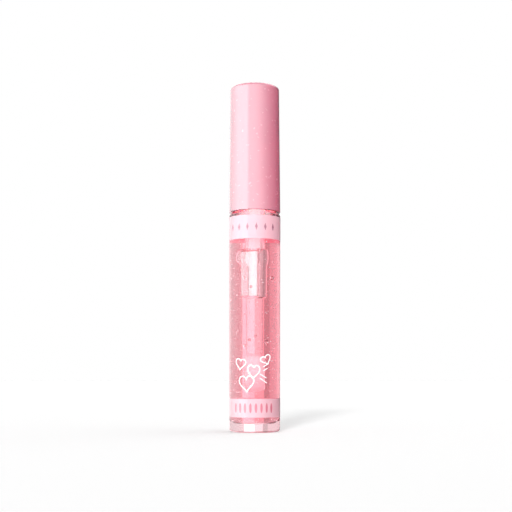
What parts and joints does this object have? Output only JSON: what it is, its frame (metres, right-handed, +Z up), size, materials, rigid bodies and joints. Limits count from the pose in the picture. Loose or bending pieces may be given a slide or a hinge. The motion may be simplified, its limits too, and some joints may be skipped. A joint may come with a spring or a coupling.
{
  "type": "lip gloss tube",
  "caption": "Slim clear lip gloss tube with shimmer gel, a pink screw cap and a flocked doe-foot applicator on a stem that pulls out through a wiper.",
  "frame": {"origin": "centre of the bottle's foot, on the surface that it stands on", "axes": "+Z up along the tube to the cap; -Y is the decorated front, where the hearts are"},
  "size_m": [0.0172, 0.0172, 0.114],
  "materials": {
    "clear_bottle": "clear, polished",
    "gloss_gel": "wet shimmer gel",
    "wiper_plastic": "soft natural white",
    "band_film": "satin printed film",
    "cap_plastic": "polished",
    "inner_cap_plastic": "as moulded",
    "stem_plastic": "smooth, frosted",
    "core_plastic": "soft, as moulded",
    "flock": "short nylon flock, wet with gel"
  },
  "bodies": {
    "bottle_unit": {"bottle": "clear_bottle", "gloss": "gloss_gel", "wiper": "wiper_plastic", "upper_band": "band_film", "lower_band": "band_film"},
    "cap_unit": {"outer_cap": "cap_plastic", "inner_cap": "inner_cap_plastic", "stem": "stem_plastic", "applicator_core": "core_plastic", "applicator_flock": "flock"}
  },
  "joints": [
    {"name": "cap_pull_out", "type": "slide", "parent": "bottle_unit", "child": "cap_unit", "axis": [0, 0, 1], "range_m": [0, 0.076], "deforming": ["applicator_flock"]}
  ]
}
